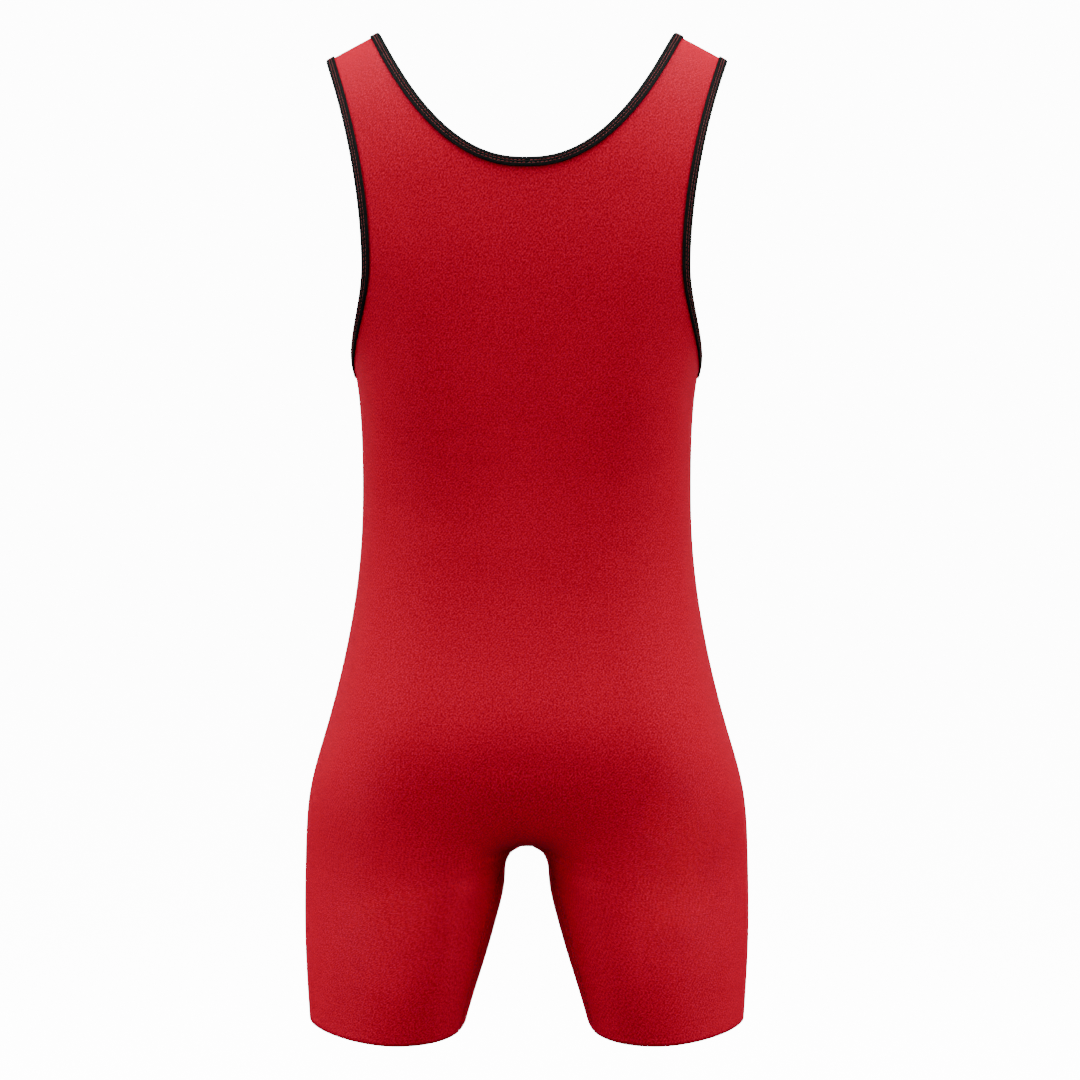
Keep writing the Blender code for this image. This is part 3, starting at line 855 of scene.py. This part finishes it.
class Nodes:
    """Short ways to add and join a material's nodes."""

    def __init__(self, name):
        self.material = bpy.data.materials.new(name)
        self.material.use_nodes = True
        self.tree = self.material.node_tree
        self.shader = self.tree.nodes["Principled BSDF"]

    def fill(self, node, **values):
        """Fill a node's sockets by name, an underscore standing for a space."""
        for key, value in values.items():
            self.put(node.inputs[key.replace("_", " ")], value)
        return node

    def add(self, kind, settings=None, **values):
        """A node with its settings, and its sockets filled."""
        node = self.tree.nodes.new(kind)
        for key, value in (settings or {}).items():
            setattr(node, key, value)
        return self.fill(node, **values)

    def put(self, socket, value):
        """Join an output to the socket, or set the socket to a number or colour."""
        if isinstance(value, bpy.types.NodeSocket):
            self.tree.links.new(value, socket)
        else:
            socket.default_value = value

    def maths(self, operation, *values):
        """One step of reckoning."""
        node = self.tree.nodes.new("ShaderNodeMath")
        node.operation = operation
        for socket, value in zip(node.inputs, values):
            self.put(socket, value)
        return node.outputs[0]

    def mix(self, factor, first, second):
        """A colour between two. The colour sockets come after those for numbers and for vectors."""
        node = self.tree.nodes.new("ShaderNodeMix")
        node.data_type = "RGBA"
        for socket, value in zip((node.inputs[0], node.inputs[6], node.inputs[7]), (factor, first, second)):
            self.put(socket, value)
        return node.outputs[2]

    def noise(self, vector, scale, detail=2.0, dimensions="3D"):
        """Soft noise between 0 and 1."""
        settings = {"noise_dimensions": dimensions}
        return self.add("ShaderNodeTexNoise", settings, Vector=vector, Scale=scale, Detail=detail).outputs[0]

    def between(self, value, low, high, to_low=0.0, to_high=1.0):
        """A value's place between two limits, taken with a smooth step to between two others."""
        node = self.add("ShaderNodeMapRange", {"interpolation_type": "SMOOTHSTEP"})
        for socket, number in zip(node.inputs, (value, low, high, to_low, to_high)):
            self.put(socket, number)
        return node.outputs[0]


def jersey(name):
    """Fine matte knit: columns of small slanted loops, wavering slanted lines, grain, and lighter specks, with painted
    shade along the hem.

    A loop is a sine down its column, bent by the distance from the rib's middle, times the rib's round. A slanted
    line is a sine of the way across less the way down. The patterns are added up, each times its share.
    """
    made = Nodes(name)
    place = made.add("ShaderNodeUVMap", {"uv_map": "cloth_map"}).outputs[0]
    here = made.add("ShaderNodeTexCoord").outputs["Object"]
    split = made.add("ShaderNodeSeparateXYZ", Vector=place)
    across = made.maths("DIVIDE", split.outputs[0], WALE)
    down = made.maths("DIVIDE", split.outputs[1], COURSE)
    from_rib = made.maths("ABSOLUTE", made.maths("SUBTRACT", made.maths("FRACT", across), 0.5))
    bent = made.maths("ADD", down, made.maths("MULTIPLY", from_rib, LOOP_BEND))
    loops = made.maths("MULTIPLY_ADD", made.maths("SINE", made.maths("MULTIPLY", bent, 2 * math.pi)), 0.5, 0.5)
    ribs = made.maths("SUBTRACT", 1.0, made.maths("MULTIPLY", from_rib, RIB_ROUND))
    knit = made.maths("MULTIPLY", loops, ribs)
    grain = made.noise(place, GRAIN_FINE, 1.0, "2D")
    specks = made.between(made.noise(place, SPECK_FINE, 0.0, "2D"), *SPECK_RANGE)
    slant = made.maths("MULTIPLY", made.maths("SUBTRACT", split.outputs[0], split.outputs[1]), 2 * math.pi / TWILL)
    slant = made.maths("MULTIPLY_ADD", made.noise(place, WAVER_FINE, 1.0, "2D"), WAVER, slant)
    twills = made.maths("MULTIPLY_ADD", made.maths("SINE", slant), 0.5, 0.5)
    drawn_out = made.add("ShaderNodeMapping", Vector=here, Scale=STREAK_FINE).outputs[0]
    streaks = made.noise(drawn_out, 1.0, 1.0)
    patches = made.noise(here, PATCH_FINE)
    tone = made.maths("MULTIPLY", knit, TONE_SHARES["knit"])
    for pattern, value in (("grain", grain), ("twills", twills), ("streaks", streaks), ("patches", patches)):
        tone = made.maths("MULTIPLY_ADD", value, TONE_SHARES[pattern], tone)
    colour = made.mix(made.between(tone, *TONE_RANGE), DEEP_RED, LIGHT_RED)
    colour = made.mix(made.maths("MULTIPLY", specks, SPECK_SHARE), colour, SPECK_RED)
    # Painted shade: in a thin band just above the hem's edge the knit darkens towards the dark hem colour, as if the
    # cloth folded under there
    shade_from, shade_to = (length_down(HEM) - above for above in HEM_SHADE_LINE)
    hem = made.between(split.outputs[1], shade_from, shade_to, 0.0, HEM_SHADE_SHARE)
    height = made.maths("MULTIPLY_ADD", knit, 0.6, made.maths("MULTIPLY", grain, 0.7))
    bump = made.add("ShaderNodeBump", Strength=0.35, Distance=0.00016, Height=height)
    made.fill(
        made.shader,
        Base_Color=made.mix(hem, colour, HEM_SHADE_RED),
        Roughness=made.between(grain, 0.3, 0.7, 0.50, 0.60),
        Normal=bump.outputs[0],
        Specular_IOR_Level=0.03,
        Specular_Tint=RED_GLOSS,
        Sheen_Weight=0.012,
        Sheen_Roughness=0.30,
        Sheen_Tint=RED_SHEEN,
    )
    return made.material


def rib_tape(name):
    """Near-black folded knit tape: a sine of ribs across it, a sine of fine lines along it, and grain."""
    made = Nodes(name)
    place = made.add("ShaderNodeUVMap", {"uv_map": "cloth_map"}).outputs[0]
    split = made.add("ShaderNodeSeparateXYZ", Vector=place)
    ribs = made.maths("SINE", made.maths("MULTIPLY", split.outputs[1], 2 * math.pi / TAPE_RIB))
    lines = made.maths("SINE", made.maths("MULTIPLY", split.outputs[0], 2 * math.pi / TAPE_LINE))
    here = made.add("ShaderNodeTexCoord").outputs["Object"]
    grain = made.noise(here, TAPE_GRAIN)
    weave = made.maths("MULTIPLY_ADD", lines, TAPE_SHARES["lines"], grain)
    weave = made.maths("MULTIPLY_ADD", ribs, TAPE_SHARES["ribs"], weave)
    bump = made.add("ShaderNodeBump", Strength=0.4, Distance=0.00012, Height=weave)
    made.fill(
        made.shader,
        Base_Color=made.mix(made.between(weave, 0.2, 0.9), TAPE_BLACK, TAPE_GREY),
        Roughness=made.between(grain, 0.3, 0.7, 0.50, 0.68),
        Normal=bump.outputs[0],
        Specular_IOR_Level=0.10,
        Sheen_Weight=0.01,
        Sheen_Tint=TAPE_SHEEN,
    )
    return made.material


def thread(name, dark, light):
    """Twisted sewing thread: diagonal bands of a darker and a lighter tone."""
    made = Nodes(name)
    here = made.add("ShaderNodeTexCoord").outputs["Object"]
    turned = made.add("ShaderNodeMapping", Vector=here, Rotation=TWIST).outputs[0]
    bands = made.add("ShaderNodeTexWave", Vector=turned, Scale=BANDS, Distortion=1.5).outputs["Fac"]
    made.fill(made.shader, Base_Color=made.mix(bands, dark, light), Roughness=made.between(bands, 0, 1, 0.45, 0.6))
    return made.material


def floor_finish(name):
    """Matte and faintly mottled, and it glows white."""
    made = Nodes(name)
    here = made.add("ShaderNodeTexCoord").outputs["Object"]
    tone = made.mix(made.noise(here, 3.0), *FLOOR_TONES)
    made.fill(made.shader, Base_Color=tone, Roughness=0.9, Emission_Color=(1, 1, 1, 1), Emission_Strength=WHITE)
    return made.material


# --- The studio -----------------------------------------------------------------------------------------------------

# The floor's height and half its side, the strength of the soft light all round, and that of the white that only the
# camera sees
FLOOR_HEIGHT = -1.42
FLOOR_HALF = 9.0
AMBIENT = 0.17
WHITE = 13.0


def make_floor():
    """A pale square floor, well below the hems. It throws no light back up."""
    mesh = bpy.data.meshes.new("studio_floor")
    signs = ((-1, -1), (1, -1), (1, 1), (-1, 1))
    corners = [(x * FLOOR_HALF, y * FLOOR_HALF, FLOOR_HEIGHT) for x, y in signs]
    mesh.from_pydata(corners, [], [(0, 1, 2, 3)])
    mesh.materials.append(floor_finish("pale_floor"))
    floor = link(bpy.data.objects.new("studio_floor", mesh))
    floor.visible_diffuse = False
    floor.visible_glossy = False


def make_world():
    """White all round for the camera, and a soft dimmer light for the cloth."""
    world = bpy.data.worlds.new("studio")
    world.use_nodes = True
    tree = world.node_tree
    background = tree.nodes["Background"]
    background.inputs["Color"].default_value = (1, 1, 1, 1)
    seen = tree.nodes.new("ShaderNodeLightPath")
    strength = tree.nodes.new("ShaderNodeMapRange")
    strength.inputs["To Min"].default_value = AMBIENT
    strength.inputs["To Max"].default_value = WHITE
    tree.links.new(seen.outputs["Is Camera Ray"], strength.inputs["Value"])
    tree.links.new(strength.outputs[0], background.inputs["Strength"])
    world.cycles_visibility.glossy = False
    bpy.context.scene.world = world


# Soft boxes: the point that each faces, aside to the garment's left and its height, the way from there to the box,
# round from straight behind the garment towards its left and up from level, its distance, its side, how far its grid
# lets it spread in degrees, its power in watts, and whether the cloth shines with it
LIGHT_COLUMNS = ("name", "aside", "faces", "round", "up", "away", "size", "spread", "power", "shines")
LIGHTS = (
    ("soft_box_top", 0, -0.42, 0, 50, 2.0, 1.2, 180, 5.0, True),
    ("soft_box_back_left", 0, -0.42, 60, 15, 2.0, 1.2, 180, 8.6, False),
    ("soft_box_back_right", 0, -0.42, -60, 15, 2.0, 1.2, 180, 9.6, False),
    ("soft_box_slant_left", 0, -0.42, 50, 62, 2.0, 1.2, 180, 13.5, True),
    ("soft_box_slant_right", 0, -0.42, -50, 62, 2.0, 1.2, 180, 14.5, True),
    ("soft_box_side_left", 0, -0.42, 84, 36, 2.0, 1.2, 180, 4.0, True),
    ("soft_box_side_right", 0, -0.42, -84, 36, 2.0, 1.2, 180, 4.0, True),
    ("soft_box_high_left", 0, -0.42, 90, 70, 2.0, 1.2, 180, 36.0, False),
    ("soft_box_high_right", 0, -0.42, -90, 70, 2.0, 1.2, 180, 37.0, False),
    ("soft_box_leg_left", 0, -0.80, 68, 0, 0.9, 0.4, 180, 4.0, False),
    ("soft_box_leg_right", 0, -0.80, -68, 0, 0.9, 0.4, 180, 3.8, False),
    ("soft_box_waist", 0, -0.34, 0, 0, 1.3, 0.16, 13, 0.011, False),
    ("soft_box_thigh_left", 0.030, -0.685, 30, 12, 1.3, 0.06, 10, 0.015, False),
    ("soft_box_thigh_right", -0.038, -0.680, -30, 12, 1.3, 0.06, 10, 0.018, False),
    ("soft_box_front_left", 0, -0.42, 140, 15, 2.4, 1.8, 180, 30.0, False),
    ("soft_box_front_right", 0, -0.42, -140, 15, 2.4, 1.8, 180, 30.0, False),
)


def make_lights():
    """Each box stands its distance along its way from the point that it faces, and looks back along it."""
    for row in LIGHTS:
        values = dict(zip(LIGHT_COLUMNS, row))
        light = bpy.data.lights.new(values["name"], "AREA")
        light.shape = "SQUARE"
        light.size = values["size"]
        light.spread = math.radians(values["spread"])
        light.energy = values["power"]
        lamp = link(bpy.data.objects.new(values["name"], light))
        lamp.visible_glossy = values["shines"]
        lamp.visible_camera = False
        turn, up = math.radians(values["round"]), math.radians(values["up"])
        way = np.array([math.sin(turn) * math.cos(up), math.cos(turn) * math.cos(up), math.sin(up)])
        lamp.location = np.array([values["aside"], 0, values["faces"]]) + values["away"] * way
        lamp.rotation_euler = (math.pi / 2 - up, 0, math.pi - turn)


# --- Putting it together --------------------------------------------------------------------------------------------


def dress():
    """Make every piece with its finish, hide the imported panels and bindings, and attach every piece to the root body.
    """
    red = jersey("red_jersey")
    black = rib_tape("black_rib_tape")
    dark_red_thread = thread("dark_red_thread", *DARK_RED_THREAD)
    red_thread = thread("red_thread", *RED_THREAD)

    back = make_cloth("back_cloth", "back", BACK_CREASES, red)
    front = make_cloth("front_cloth", "front", FRONT_CREASES, red)
    neck_lines = opening_frame(False, NECK_ROWS)
    arm_lines = opening_frame(True, {"back": ARM_ROWS, "front": ARM_ROWS})
    neck = make_binding("neck_band", neck_lines, 1.0, black)
    neck_rows = make_stitching("neck_stitching", binding_stitches(neck_lines, 1.0), dark_red_thread)
    arms = {}
    for side, mirror in (("left", 1.0), ("right", -1.0)):
        band = make_binding(f"armhole_band_{side}", arm_lines, mirror, black)
        rows = make_stitching(f"armhole_stitching_{side}", binding_stitches(arm_lines, mirror), dark_red_thread)
        arms[side] = (band, rows)
    side_rows = make_stitching(
        "side_seam_stitching",
        seam_stitches("front", True, ARM_ROWS + SIDE_STARTS, SIDE_INSET),
        red_thread,
    )
    below_crotch = CROTCH_ROW + INSEAM_STARTS
    leg_rows = make_stitching(
        "inseam_stitching",
        [row for face in SIDES for row in seam_stitches(face, False, below_crotch, INSEAM_INSET)],
        red_thread,
    )

    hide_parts("back_panel")
    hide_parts("front_panel")
    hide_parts("neck_binding")
    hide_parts("armhole_binding_left")
    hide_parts("armhole_binding_right")
    for piece in (back, front, side_rows, leg_rows):
        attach(piece, "root")
    for piece in (neck, neck_rows, *arms["left"], *arms["right"]):
        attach(piece, "root")


make_world()
make_floor()
make_lights()
bpy.context.scene.view_settings.view_transform = "AgX"
dress()
